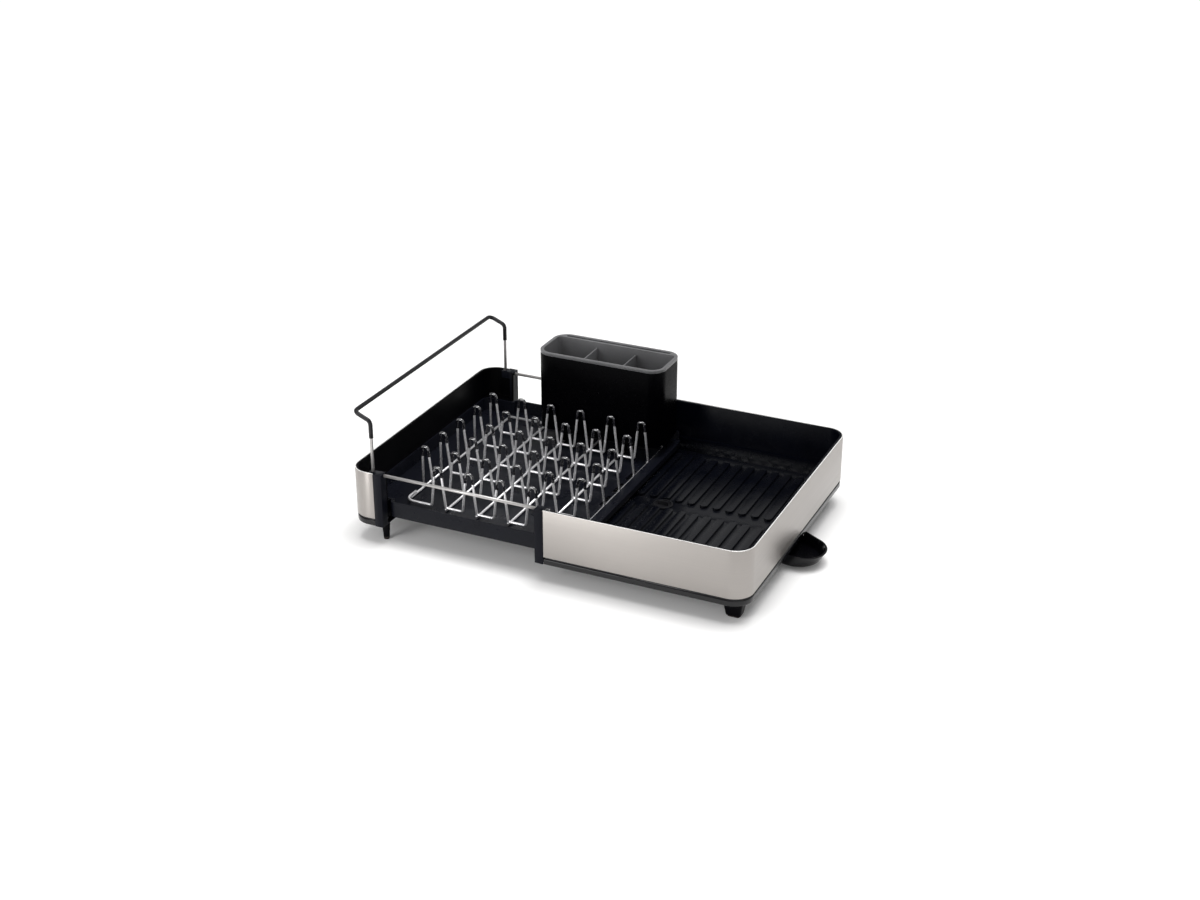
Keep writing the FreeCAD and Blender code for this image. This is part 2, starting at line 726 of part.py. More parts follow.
def make_glides():
    """Nylon pads under the right end of the pan, which run on the sliding tray's floor."""
    pads = []
    for side in (-1, 1):
        pad = document.addObject("Part::Box", "glide")
        near = pan_inset + GLIDE_INSET
        y_range = across(side, near, near + GLIDE_WIDTH)
        bind(pad, "Length", GLIDE_LENGTH)
        bind(pad, "Width", GLIDE_WIDTH)
        bind(pad, "Height", pan_under_z - tray_floor - seat_gap)
        bind(pad, "Placement.Base.x", pan_right_x - GLIDE_PLACE)
        bind(pad, "Placement.Base.y", y_range[0])
        bind(pad, "Placement.Base.z", tray_floor + seat_gap)
        pads.append(pad)
    group = document.addObject("Part::Compound", "tray_glides")
    group.Links = pads
    keep("tray_glides", group)


# Guide rods and side rail

ROD_STOP = 5.0
STOP_WALL = 1.0
STOP_FLOOR = 0.5
STOP_FIT = 0.01
ROD_START = 3.3
BOSS_REACH = 1.0
RAIL_BEND = 7.0
rod_start_x = left_x + size("rail_place") + ROD_START
boss_end_x = tray_band_x + BOSS_REACH
rod_end_x = boss_end_x + seat_gap + ROD_STOP


def make_guide_rods():
    stops = []
    for name, side in (("front_guide_rod", -1), ("back_guide_rod", 1)):
        rod = document.addObject("Part::Cylinder", name)
        bind(rod, "Radius", rod_radius)
        bind(rod, "Height", rod_end_x - rod_start_x)
        rod.Placement = Placement(Vector(0, 0, 0), Rotation(Vector(0, 1, 0), 90))
        bind(rod, "Placement.Base.x", rod_start_x)
        bind(rod, "Placement.Base.y", side * (half_depth - rod_inset))
        bind(rod, "Placement.Base.z", rod_z)
        keep(name, rod)
        rod_y = side * float(half_depth - rod_inset)
        centre = Vector(float(rod_end_x - ROD_STOP + STOP_FLOOR), rod_y, float(rod_z))
        outer = Part.makeCylinder(float(rod_radius) + STOP_WALL, ROD_STOP, centre, Vector(1, 0, 0))
        bore = Part.makeCylinder(float(rod_radius) + STOP_FIT, ROD_STOP - STOP_FLOOR, centre,
                                 Vector(1, 0, 0))
        stops.append(outer.cut(bore))
    add_shape("guide_rod_stops", stops)


def rail_route(start_z):
    """The side rail from start_z on its front leg to start_z on its back leg."""
    leg_x = float(left_x + size("rail_place"))
    top_x = float(left_x + size("rail_top_place"))
    y = float(half_depth - rod_inset)
    shoulder = float(size("rail_shoulder"))
    top = float(size("rail_height"))
    points = [
        Vector(leg_x, -y, start_z),
        Vector(leg_x, -y, shoulder),
        Vector(top_x, -y, top),
        Vector(top_x, y, top),
        Vector(leg_x, y, shoulder),
        Vector(leg_x, y, start_z),
    ]
    return route(points, [RAIL_BEND] * 4)


def make_side_rail():
    radius = float(rod_radius)
    add_shape("side_rail", [swept(rail_route(float(band_top) - RAIL_LEG_DEPTH), radius)])
    coating = sleeve(rail_route(float(size("rail_sleeve_start"))), radius, float(size("rail_sleeve")))
    add_shape("side_rail_sleeve", [coating])


# Sliding tray

tray_foot_places = [
    (right_x - size("right_foot_place"), side * (half_depth - size("right_foot_inset"))) for side in (-1, 1)
]
RIB_ROOT = 0.5
FOOT_PAD_RADIUS = 6.0
DISH_DEPTH = 1.2
PILOT_FLOOR = 1.2
GUTTER_FLANGE = 6.0
GUTTER_START = 17.0
GUTTER_END = 15.0
# from the gutter's left and right ends
GUTTER_SCREWS = (14.0, 46.0)
gutter_half = size("gutter_half")
gutter_top_z = tray_under_z
gutter_base_z = tray_under_z - size("gutter_depth")
gutter_left_x = plug_x - GUTTER_START
gutter_right_x = spout_x + GUTTER_END
gutter_screw_places = [
    (x, channel_y + side * (gutter_half + GUTTER_FLANGE / 2))
    for x in (gutter_left_x + GUTTER_SCREWS[0], gutter_right_x - GUTTER_SCREWS[1])
    for side in (-1, 1)
]


def make_sliding_tray():
    body = new_body("sliding_tray")
    inset = size("tray_foot_inset")
    y = half_depth - inset
    radius = corner_radius - inset
    floor_x = tray_wall_x
    slab(body, [(floor_x, -y), (right_x - inset, -y, radius), (right_x - inset, y, radius),
                (floor_x, y)], tray_under_z, tray_floor)
    inner = steel + size("tray_wall")
    step = inner + size("tray_step_depth")
    right_wall(body, tray_wall_x, inset, step, tray_under_z, tray_step)
    right_wall(body, tray_wall_x, steel, inner, band_bottom, wall_top_z)
    # ribs in a front and a back group, with the drain channel between them
    rib_half = size("rib_width") / 2
    first_x = floor_x + size("rib_margin")
    last_x = right_x - step - size("rib_end")
    front = (size("rib_setback") - half_depth, channel_y - size("channel_width") / 2)
    back = (channel_y + size("channel_width") / 2, half_depth - size("rib_setback"))
    for y_range in (front, back):
        rib = slab(body, rectangle((first_x - rib_half, first_x + rib_half), y_range,
                                   rib_half - CORNER_MARGIN),
                   tray_floor - RIB_ROOT, rib_top_z)
        pattern = body.newObject("PartDesign::LinearPattern", "Ribs")
        pattern.Originals = [rib]
        pattern.Direction = (rib.Profile[0], ["H_Axis"])
        bind(pattern, "Length", last_x - first_x)
        pattern.Occurrences = RIBS
        body.Tip = pattern
    for x, foot_y in tray_foot_places:
        post_round(body, x, foot_y, FOOT_PAD_RADIUS, tray_floor - RIB_ROOT, rib_top_z)
    drill_down(body, [(plug_x, channel_y)], size("plug_hole"), rib_top_z, tray_under_z - 1)
    drill_down(body, [(plug_x, channel_y)], size("plug_dish"), rib_top_z, tray_floor - DISH_DEPTH)
    pilots = new_sketch(body, "XY_Plane", tray_under_z)
    for x, foot_y in tray_foot_places:
        draw_circle(pilots, x, foot_y, SCREW_PILOT)
    extrude(body, "Pocket", pilots, rib_top_z - PILOT_FLOOR - tray_under_z).Reversed = True


def make_tray_band():
    body = new_body("sliding_steel_band")
    right_wall(body, tray_band_x + fixed_gap * 2, 0.0, steel, band_bottom, band_top)


def make_tray_trim():
    body = new_body("sliding_base_trim")
    open_x = tray_band_x + fixed_gap * 2
    inner = TRIM_INSET + TRIM_WALL
    right_wall(body, open_x, TRIM_INSET, inner, trim_bottom, band_bottom - TRIM_GROOVE)
    right_wall(body, open_x, TRIM_INSET + TRIM_GROOVE_DEPTH, inner, trim_bottom, band_bottom - fixed_gap)


POST_CLEARANCE = 3.0
POST_FOOT = 1.0
BOSS_DEPTH = 7.6


def make_tray_post(name, side):
    body = new_body(name)
    step = steel + size("tray_wall") + size("tray_step_depth")
    slab(body, rectangle((tray_x, tray_wall_x), across(side, 0.0, step - POST_CLEARANCE)),
         trim_bottom, band_top)
    slab(body, rectangle((tray_x, tray_wall_x), across(side, POST_FOOT, step)), trim_bottom, tray_step)
    slab(body, rectangle((tray_wall_x - 1, tray_band_x), across(side, 0.0, steel)), trim_bottom, band_top)
    boss_inner = steel + size("tray_wall") + fixed_gap
    slab(body, rectangle((tray_x, boss_end_x), across(side, boss_inner, pan_inset - BLOCK_GAP)),
         band_top - BOSS_DEPTH, band_top)
    drill_along(body, side * (half_depth - rod_inset), rod_z, rod_radius + seat_gap,
                boss_end_x, boss_end_x - tray_x + 1)


FOOT_BASE = 2.5
FOOT_TOP_HALF = (13.8, 11.2)
FOOT_LOW_HALF = (9.2, 7.2)
FOOT_TOP_CORNER = 4.0
FOOT_LOW_CORNER = 2.5
FOOT_BORE = 3.9
FOOT_BORE_DEPTH = 7.0
PAD_HALF = (7.3, 5.5)
PAD_THICKNESS = 2.4
PAD_CORNER = 2.2
PAD_PEG = 3.6
PAD_PEG_TOP = 5.0
TRAY_SCREW_TIP = 1.8


def foot_outline(x, y, half, corner):
    return rectangle((x - half[0], x + half[0]), (y - half[1], y + half[1]), corner)


def make_tray_foot(name, x, y):
    """A tapered foot, bored from below for the screw that holds it."""
    body = new_body(name)
    low = new_sketch(body, "XY_Plane", FOOT_BASE)
    draw_outline(low, foot_outline(x, y, FOOT_LOW_HALF, FOOT_LOW_CORNER))
    high = new_sketch(body, "XY_Plane", tray_under_z)
    draw_outline(high, foot_outline(x, y, FOOT_TOP_HALF, FOOT_TOP_CORNER))
    blend = body.newObject("PartDesign::AdditiveLoft", "Loft")
    blend.Profile = low
    blend.Sections = [high]
    drill_down(body, [(x, y)], SCREW_HOLE, tray_under_z, FOOT_BASE)
    head = new_sketch(body, "XY_Plane", FOOT_BASE)
    draw_circle(head, x, y, FOOT_BORE)
    extrude(body, "Pocket", head, FOOT_BORE_DEPTH).Reversed = True


def make_tray_feet():
    pads = []
    screws = []
    for name, (x, y) in zip(("front_right_foot", "back_right_foot"), tray_foot_places):
        make_tray_foot(name, x, y)
        centre_x = float(x)
        centre_y = float(y)
        pad = Part.makeBox(PAD_HALF[0] * 2, PAD_HALF[1] * 2, PAD_THICKNESS,
                           Vector(centre_x - PAD_HALF[0], centre_y - PAD_HALF[1], 0))
        upright = [edge for edge in pad.Edges if edge.BoundBox.ZLength > 1]
        pad = pad.makeFillet(PAD_CORNER, upright)
        pad = pad.fuse(Part.makeCylinder(PAD_PEG, PAD_PEG_TOP, Vector(centre_x, centre_y, 0)))
        pads.append(pad.removeSplitter())
        head_z = FOOT_BASE + FOOT_BORE_DEPTH
        screws.append(screw(centre_x, centre_y, head_z, float(tray_floor) + TRAY_SCREW_TIP))
    add_shape("right_foot_pads", pads)
    add_shape("right_foot_screws", screws)


# Drain gutter, plug and swivel spout

STUB_RADIUS = 11.0
STUB_BORE = 8.5
STUB_END = 0.2
DECK = 3.0
RING = 2.0
RING_WALL = 2.6
RING_FIT = 0.02
GUTTER_WALL = 2.0
GUTTER_CORNER = 9.0
GUTTER_INNER_CORNER = 7.0
FLANGE_CORNER = 8.0
deck_top_z = gutter_base_z - seat_gap
deck_base_z = deck_top_z - DECK
ring_top_z = deck_base_z - seat_gap
ring_base_z = ring_top_z - RING


def make_gutter():
    body = new_body("drain_gutter")
    half = gutter_half
    wide = (channel_y - half - GUTTER_FLANGE, channel_y + half + GUTTER_FLANGE)
    narrow = (channel_y - half, channel_y + half)
    hollow = (narrow[0] + GUTTER_WALL, narrow[1] - GUTTER_WALL)
    flange_z = gutter_top_z - GUTTER_WALL
    slab(body, rectangle((gutter_left_x, gutter_right_x), narrow, GUTTER_CORNER), gutter_base_z,
         gutter_top_z)
    slab(body, rectangle((gutter_left_x - GUTTER_FLANGE, gutter_right_x), wide, FLANGE_CORNER),
         flange_z, gutter_top_z)
    cut_down(body, rectangle((gutter_left_x + GUTTER_WALL, gutter_right_x - GUTTER_WALL), hollow,
                             GUTTER_INNER_CORNER), gutter_top_z, gutter_base_z + GUTTER_WALL)
    post_round(body, spout_x, channel_y, STUB_RADIUS, ring_base_z - STUB_END, gutter_base_z + 1)
    drill_down(body, [(spout_x, channel_y)], STUB_BORE, gutter_base_z + GUTTER_WALL, ring_base_z - 1)
    drill_down(body, gutter_screw_places, SCREW_HOLE, gutter_top_z, flange_z - 0.5)


GUTTER_SCREW_LENGTH = 1.95


def make_gutter_screws():
    under = float(gutter_top_z) - GUTTER_WALL
    add_shape("gutter_screws",
              [screw(float(x), float(y), under, under + GUTTER_SCREW_LENGTH, SMALL_SCREW_HEAD,
                     SMALL_SCREW_SHANK) for x, y in gutter_screw_places])


PLUG_FLANGE = 2.6
PLUG_FLANGE_GAP = 0.6
PLUG_STEM_GAP = 0.4
PLUG_STEM_END = 2.0
PLUG_RIM = 2.4
PLUG_FACE = 1.3
GRIP_HALF = (7.5, 1.3)
GRIP_CORNER = 1.2
GRIP_RISE = 2.0


def make_plug():
    """A rubber plug with a grip, in the dish of the tray floor."""
    body = new_body("drain_plug")
    dish_z = tray_floor - DISH_DEPTH
    flange = size("plug_dish") - PLUG_FLANGE_GAP
    post_round(body, plug_x, channel_y, flange, dish_z + fixed_gap, dish_z + PLUG_FLANGE)
    post_round(body, plug_x, channel_y, size("plug_hole") - PLUG_STEM_GAP, tray_under_z - PLUG_STEM_END,
               dish_z + 1)
    drill_down(body, [(plug_x, channel_y)], flange - PLUG_RIM, dish_z + PLUG_FLANGE, dish_z + PLUG_FACE)
    slab(body, rectangle((plug_x - GRIP_HALF[0], plug_x + GRIP_HALF[0]),
                         (channel_y - GRIP_HALF[1], channel_y + GRIP_HALF[1]), GRIP_CORNER),
         dish_z + 1, rib_top_z + GRIP_RISE)


SPOUT_FLOOR = 2.2
SPOUT_LEAN = 1.0
WALL_START = 25.0


def cut_slope(body, start_x, end_x, high_z, fall, width):
    """Cut away what lies above a plane that falls along X from (start_x, high_z)."""
    low_x = float(start_x)
    far_x = float(end_x)
    top = float(high_z)
    sketch = new_sketch(body, "XZ_Plane", 0.0)
    points = [Vector(low_x, top, 0), Vector(far_x, top - float(fall), 0), Vector(far_x, top, 0)]
    lines = []
    for i, point in enumerate(points):
        lines.append(sketch.addGeometry(Part.LineSegment(point, points[(i + 1) % 3]), False))
    for i, line in enumerate(lines):
        sketch.addConstraint(Sketcher.Constraint("Coincident", line, 2, lines[(i + 1) % 3], 1))
    sketch.addConstraint(Sketcher.Constraint("Vertical", lines[1]))
    sketch.addConstraint(Sketcher.Constraint("Horizontal", lines[2]))
    constrain(sketch, "DistanceX", -1, 1, lines[0], 1, start_x)
    constrain(sketch, "DistanceY", -1, 1, lines[0], 1, high_z)
    constrain(sketch, "DistanceX", -1, 1, lines[1], 1, end_x)
    constrain(sketch, "DistanceY", lines[1], 1, lines[1], 2, fall)
    extrude(body, "Pocket", sketch, width).Midplane = True


def make_spout():
    """Open scoop on its own axes: the pivot is its origin and the nose points along X."""
    body = new_body("drain_spout")
    nose = size("spout_nose")
    hub = size("spout_hub")
    wall = size("spout_wall")
    rake = size("spout_rake")
    base = size("spout_base")
    rim = trim_bottom - size("spout_clearance")
    fall = size("spout_fall")
    inner_base = base + SPOUT_FLOOR
    straight_out = size("spout_reach") + size("spout_place") - nose
    # the nose leans out, so at its lower lip it reaches less far
    length = straight_out / math.cos(math.radians(float(size("spout_turn")))) + rake * fall / (rim - base)
    sections = []
    for low_z, high_z, inset in ((base, rim, 0.0), (inner_base, rim + 1, wall)):
        low = new_sketch(body, "XY_Plane", low_z)
        draw_teardrop(low, length - rake, hub - SPOUT_LEAN - inset, nose - SPOUT_LEAN - inset)
        high = new_sketch(body, "XY_Plane", high_z)
        draw_teardrop(high, length, hub - inset, nose - inset)
        sections.append((low, high))
    for kind, (low, high) in zip(("AdditiveLoft", "SubtractiveLoft"), sections):
        loft = body.newObject("PartDesign::" + kind, kind)
        loft.Profile = low
        loft.Sections = [high]
    cut_slope(body, as_size(0), length + nose, rim, fall, hub * 3)
    # the deck that turns on the gutter's stub; the walls stay clear of the gutter above it
    middle = as_size(0)
    post_round(body, middle, middle, hub - wall, deck_base_z, deck_top_z)
    cut_down(body, rectangle((-hub - 1, as_size(WALL_START)), (-hub - 1, hub + 1)), rim + 2, deck_top_z)
    drill_down(body, [(middle, middle)], STUB_RADIUS + seat_gap, deck_top_z + 1, deck_base_z - 1)
    body.Placement = Placement(Vector(0, 0, 0), Rotation(Vector(0, 0, 1), float(size("spout_turn"))))
    bind(body, "Placement.Base.x", spout_x)
    bind(body, "Placement.Base.y", channel_y)
    bind(body, "Placement.Rotation.Angle", size("spout_turn"))


def make_retaining_ring():
    centre = Vector(float(spout_x), float(channel_y), float(ring_base_z))
    height = float(ring_top_z - ring_base_z)
    ring = Part.makeCylinder(STUB_RADIUS + RING_WALL, height, centre)
    bore = Part.makeCylinder(STUB_RADIUS + RING_FIT, height, centre)
    add_shape("spout_retaining_ring", [ring.cut(bore)])


# Plate rack

WELD_GAP = 0.02
CADDY_GAP = 2.1
RUNNER_GAP = 0.35
runner_z = pan_floor + seat_gap + wire_radius
row_wire_z = runner_z + wire_radius * 2 + WELD_GAP
caddy_front_y = half_depth - size("caddy_back") - size("caddy_depth")
first_row_y = size("first_row") - half_depth
last_row_y = caddy_front_y - wire_radius - size("tip_sleeve") - CADDY_GAP
row_pitch = (last_row_y - first_row_y) / (ROWS - 1)
last_runner_x = pan_right_x - size("lip_width") - wire_radius - RUNNER_GAP
column_pitch = (last_runner_x - size("prong_foot") - left_x - size("first_column")) / (COLUMNS - 1)
back_wire_y = half_depth - size("rack_back")
FOOT_BEND = 3.0
FRONT_BEND = 12.0
FRONT_RETURN = 26.0
END_SINK = 0.25
HEAD_MARGIN = 0.05


def row_y(row):
    return float(first_row_y) + row * float(row_pitch)


def column_x(column):
    return float(left_x + size("first_column")) + column * float(column_pitch)


def head_bend():
    """Bend at each side of a prong's head, so that the two bends nearly meet."""
    run = float(size("prong_foot")) - float(size("prong_head"))
    rise = head_z() - float(row_wire_z)
    turn = math.pi / 2 + math.atan2(run, rise)
    return (float(size("prong_head")) - HEAD_MARGIN) / math.tan(turn / 2)


def head_z():
    return float(size("prong_top") - size("tip_sleeve") - wire_radius)


def prong_points(x, y, left_foot=None):
    """The four corners of one prong, from its left foot over its head to its right foot."""
    foot = float(size("prong_foot"))
    head = float(size("prong_head"))
    base = float(row_wire_z)
    left = x - foot if left_foot is None else left_foot
    return [
        Vector(left, y, base),
        Vector(x - head, y, head_z()),
        Vector(x + head, y, head_z()),
        Vector(x + foot, y, base),
    ]


def row_wire(row):
    """One bent wire with a prong at each column. The front row leaves out both end columns
    and turns back along the left runner."""
    y = row_y(row)
    start_x = float(left_x + size("rack_start"))
    end_drop = float(wire_radius) - END_SINK
    points = []
    bends = []
    columns = range(1, COLUMNS - 1) if row == 0 else range(COLUMNS)
    if row == 0:
        points += [Vector(start_x, y + FRONT_RETURN, float(row_wire_z)),
                   Vector(start_x, y, float(row_wire_z))]
        bends.append(FRONT_BEND)
    for column in columns:
        first = row > 0 and column == 0
        left_foot = start_x if first else None
        corners = prong_points(column_x(column), y, left_foot)
        points += corners
        bends += [FOOT_BEND, head_bend(), head_bend(), FOOT_BEND]
    if row > 0:
        # the first and last legs end on the runners below them
        lean_left = (points[1] - points[0]).normalize()
        points[0] = points[0] - lean_left * (end_drop / lean_left.z)
        bends = bends[1:]
    lean_right = (points[-2] - points[-1]).normalize()
    points[-1] = points[-1] - lean_right * (end_drop / lean_right.z)
    bends = bends[:-1]
    return route(points, bends)


def tip_route(x, y, left_foot=None):
    """The coated part of one prong."""
    corners = prong_points(x, y, left_foot)
    length = float(size("tip_length"))
    rise_left = (corners[0] - corners[1]).normalize()
    rise_right = (corners[3] - corners[2]).normalize()
    start = corners[1] + rise_left * (length / abs(rise_left.z))
    end = corners[2] + rise_right * (length / abs(rise_right.z))
    return route([start, corners[1], corners[2], end], [head_bend(), head_bend()])


def runner_places():
    """The runner wires: one at the rack's left edge, then one along the right foot of each column."""
    foot = float(size("prong_foot"))
    return [float(left_x + size("rack_start"))] + [column_x(column) + foot for column in range(1, COLUMNS)]


def make_plate_rack():
    radius = float(wire_radius)
    wall = float(size("tip_sleeve"))
    start_x = float(left_x + size("rack_start"))
    for row in range(ROWS):
        add_shape("rack_row_wire_%d" % (row + 1), [swept(row_wire(row), radius)])
        columns = range(1, COLUMNS - 1) if row == 0 else range(COLUMNS)
        tips = []
        for column in columns:
            left_foot = start_x if row > 0 and column == 0 else None
            tips.append(sleeve(tip_route(column_x(column), row_y(row), left_foot), radius, wall))
        add_shape("prong_tips_row_%d" % (row + 1), tips)
    runners = []
    back = float(back_wire_y)
    places = runner_places()
    for place, x in enumerate(places):
        # the left runner starts behind the bend of the front row wire, the right one at the second row
        front = row_y(1) if place == len(places) - 1 else row_y(0)
        if place == 0:
            front += FRONT_BEND
        start = Vector(x, front, float(runner_z))
        runners.append(Part.makeCylinder(radius, back - front, start, Vector(0, 1, 0)))
    add_shape("rack_runner_wires", runners)
    cross = Part.makeCylinder(radius, places[-1] - start_x,
                              Vector(start_x, back - radius, float(row_wire_z)), Vector(1, 0, 0))
    add_shape("rack_back_wire", [cross])


# Cutlery caddy

CADDY_INSET = 2.0
caddy_right_x = pan_right_x - CADDY_INSET
caddy_left_x = caddy_right_x - size("caddy_length")
caddy_back_y = caddy_front_y + size("caddy_depth")
caddy_floor = size("caddy_floor")
LEG = 8.0
LEG_CORNER = 1.5
# legs from the front and back of the caddy
LEG_FRONT = 16.0
LEG_BACK = 36.0
ROOM_CORNER = 5.0
SLOT_SETBACK = 6.0
DIVIDER = 2.0
DIVIDER_DROP = 8.0
HOLE_SHIFTS_X = (-12.0, 12.0)
HOLE_SHIFTS_Y = (-14.0, 0.0, 14.0)
liner_in = size("caddy_wall") + seat_gap
hollow_in = liner_in + size("liner_wall")
slot_back_y = caddy_back_y - hollow_in
slot_front_y = slot_back_y - size("knife_slot")
room_back_y = slot_front_y - size("knife_wall")
room_front_y = caddy_front_y + hollow_in
room_left_x = caddy_left_x + hollow_in
room_right_x = caddy_right_x - hollow_in
liner_base_z = caddy_base_z + caddy_floor + seat_gap
room_pitch = (room_right_x - room_left_x) / (CADDY_DIVIDERS + 1)
caddy_hole_places = [
    (room_left_x + room_pitch * (room + 0.5) + shift_x, (room_front_y + room_back_y) / 2 + shift_y)
    for room in range(CADDY_DIVIDERS + 1)
    for shift_x in HOLE_SHIFTS_X
    for shift_y in HOLE_SHIFTS_Y
]


def caddy_outline(inset):
    return rectangle((caddy_left_x + inset, caddy_right_x - inset),
                     (caddy_front_y + inset, caddy_back_y - inset), size("caddy_corner") - inset)


def make_caddy_body():
    body = new_body("caddy_body")
    rim_z = caddy_top_z - size("liner_rim")
    base = caddy_base_z
    slab(body, caddy_outline(0.0), base, rim_z - fixed_gap)
    cut_down(body, caddy_outline(size("caddy_wall")), rim_z, base + caddy_floor)
    drill_down(body, caddy_hole_places, size("drain_hole"), base + caddy_floor, base - 1)
    leg_base = runner_z + wire_radius + seat_gap
    # the legs stand on the outermost runner wires under the caddy's straight part
    straight = (float(caddy_left_x + size("caddy_corner")), float(caddy_right_x - size("caddy_corner")))
    runners = [x for x in runner_places() if straight[0] < x < straight[1]]
    for x in (as_size(runners[0]), as_size(runners[-1])):
        for y in (caddy_front_y + LEG_FRONT, caddy_back_y - LEG_BACK):
            slab(body, rectangle((x - LEG / 2, x + LEG / 2), (y - LEG / 2, y + LEG / 2), LEG_CORNER),
                 leg_base, base + caddy_floor / 2)


def make_caddy_liner():
    body = new_body("caddy_liner")
    rim_z = caddy_top_z - size("liner_rim")
    slab(body, caddy_outline(0.0), rim_z, caddy_top_z)
    slab(body, caddy_outline(liner_in), liner_base_z, rim_z + 0.5)
    inner = size("caddy_corner") - hollow_in
    cut_down(body, [(room_left_x, room_front_y, inner), (room_right_x, room_front_y, inner),
                    (room_right_x, room_back_y, ROOM_CORNER), (room_left_x, room_back_y, ROOM_CORNER)],
             caddy_top_z, liner_base_z + caddy_floor)
    slot_in = inner - SLOT_SETBACK
    cut_down(body, rectangle((room_left_x + slot_in, room_right_x - slot_in),
                             (slot_front_y, slot_back_y), size("knife_slot") / 2 - CORNER_MARGIN),
             caddy_top_z, liner_base_z + caddy_floor)
    drill_down(body, caddy_hole_places, size("drain_hole"), liner_base_z + caddy_floor, liner_base_z - 1)


def make_caddy_dividers():
    plates = []
    for divider in range(CADDY_DIVIDERS):
        plate = document.addObject("Part::Box", "divider_plate")
        bind(plate, "Length", DIVIDER)
        bind(plate, "Width", room_back_y - room_front_y - seat_gap * 2)
        bind(plate, "Height", caddy_top_z - DIVIDER_DROP - liner_base_z - caddy_floor - seat_gap)
        bind(plate, "Placement.Base.x", room_left_x + room_pitch * (divider + 1) - DIVIDER / 2)
        bind(plate, "Placement.Base.y", room_front_y + seat_gap)
        bind(plate, "Placement.Base.z", liner_base_z + caddy_floor + seat_gap)
        plates.append(plate)
    group = document.addObject("Part::Compound", "caddy_dividers")
    group.Links = plates
    keep("caddy_dividers", group)


# Build everything

make_left_base()
make_left_shell()
make_left_band()
make_left_post("front_left_post", -1)
make_left_post("back_left_post", 1)
make_left_feet()
make_left_foot_tips()
make_left_screws()
make_pan()
make_glides()
make_guide_rods()
make_side_rail()
make_sliding_tray()
make_tray_band()
make_tray_trim()
make_tray_post("front_tray_post", -1)
make_tray_post("back_tray_post", 1)
make_tray_feet()
make_gutter()
make_gutter_screws()
make_plug()
make_spout()
make_retaining_ring()
make_plate_rack()
make_caddy_body()
make_caddy_liner()
make_caddy_dividers()
document.recompute()

# Check every object, then write one file for each sub-part

for item in document.Objects:
    if "Invalid" in item.State or "Error" in item.State:
        raise RuntimeError("%s (%s) failed: %s" % (item.Name, item.Label, item.State))
    if item.TypeId == "PartDesign::Pocket" and item.BaseFeature is not None:
        removed = item.BaseFeature.Shape.Volume - item.Shape.Volume
        if removed < 1:
            raise RuntimeError("%s cuts nothing" % item.Name)

os.makedirs("parts", exist_ok=True)
for name, item in pieces.items():
    shape = item.Shape
    if shape.isNull() or not shape.isValid() or not shape.Solids:
        raise RuntimeError("sub-part %s has no valid solid" % name)
    shape.exportStep(os.path.join("parts", name + ".step"))
print("sub-parts", len(pieces), "travel", float(travel), "full width", float(full_width))
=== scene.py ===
import math

import bmesh
import bpy
from mathutils import Matrix, Vector


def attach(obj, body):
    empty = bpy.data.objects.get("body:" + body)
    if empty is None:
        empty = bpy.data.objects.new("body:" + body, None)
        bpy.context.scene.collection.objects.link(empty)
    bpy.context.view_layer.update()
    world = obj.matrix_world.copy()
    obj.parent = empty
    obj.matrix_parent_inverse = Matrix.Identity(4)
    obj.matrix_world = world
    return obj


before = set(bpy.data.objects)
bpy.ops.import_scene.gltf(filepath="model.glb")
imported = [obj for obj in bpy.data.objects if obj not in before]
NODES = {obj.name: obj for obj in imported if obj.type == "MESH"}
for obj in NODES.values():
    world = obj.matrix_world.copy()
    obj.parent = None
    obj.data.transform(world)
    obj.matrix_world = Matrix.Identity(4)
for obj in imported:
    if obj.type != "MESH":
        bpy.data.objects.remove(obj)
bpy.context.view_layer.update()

# Expandable dish rack: finishes, rounded edges, studio light and camera. Metres, in the frame of the
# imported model: X from the fixed end to the sliding tray, Y from front to back, Z up, table at Z = 0.

MM = 0.001


# Material helpers

def new_material(name):
    """An empty node material and its Principled shader."""
    material = bpy.data.materials.new(name)
    material.use_nodes = True
    return material, material.node_tree.nodes["Principled BSDF"]


def add_node(owner, kind, **settings):
    """A new node in the tree of a material or world."""
    node = owner.node_tree.nodes.new(kind)
    for key, value in settings.items():
        setattr(node, key, value)
    return node


def link(owner, out_socket, in_socket):
    owner.node_tree.links.new(out_socket, in_socket)


def fill(node, **values):
    """Set input sockets by name, with _ for a space."""
    for key, value in values.items():
        node.inputs[key.replace("_", " ")].default_value = value


def place(material, scale):
    """Coordinates of the object in metres, times a scale for each axis."""
    coordinates = add_node(material, "ShaderNodeTexCoord")
    mapping = add_node(material, "ShaderNodeMapping")
    fill(mapping, Scale=scale)
    link(material, coordinates.outputs["Object"], mapping.inputs["Vector"])
    return mapping.outputs["Vector"]


def noise(material, scale, detail=3.0, roughness=0.5):
    """Noise whose features repeat about `scale` times a metre along each axis."""
    texture = add_node(material, "ShaderNodeTexNoise")
    fill(texture, Scale=1.0, Detail=detail, Roughness=roughness)
    link(material, place(material, scale), texture.inputs["Vector"])
    return texture.outputs["Fac"]


def spread(owner, value, low, high, start=0.3, end=0.7):
    """A value between start and end, stretched to the range from low to high."""
    ramp = add_node(owner, "ShaderNodeMapRange")
    fill(ramp, From_Min=start, From_Max=end, To_Min=low, To_Max=high)
    link(owner, value, ramp.inputs["Value"])
    return ramp.outputs["Result"]


def tint(material, value, dark, light):
    """A colour between two, by a value from 0 to 1."""
    mix = add_node(material, "ShaderNodeMix", data_type="RGBA")
    fill(mix, A=(*dark, 1.0), B=(*light, 1.0))
    link(material, value, mix.inputs["Factor"])
    return mix.outputs["Result"]


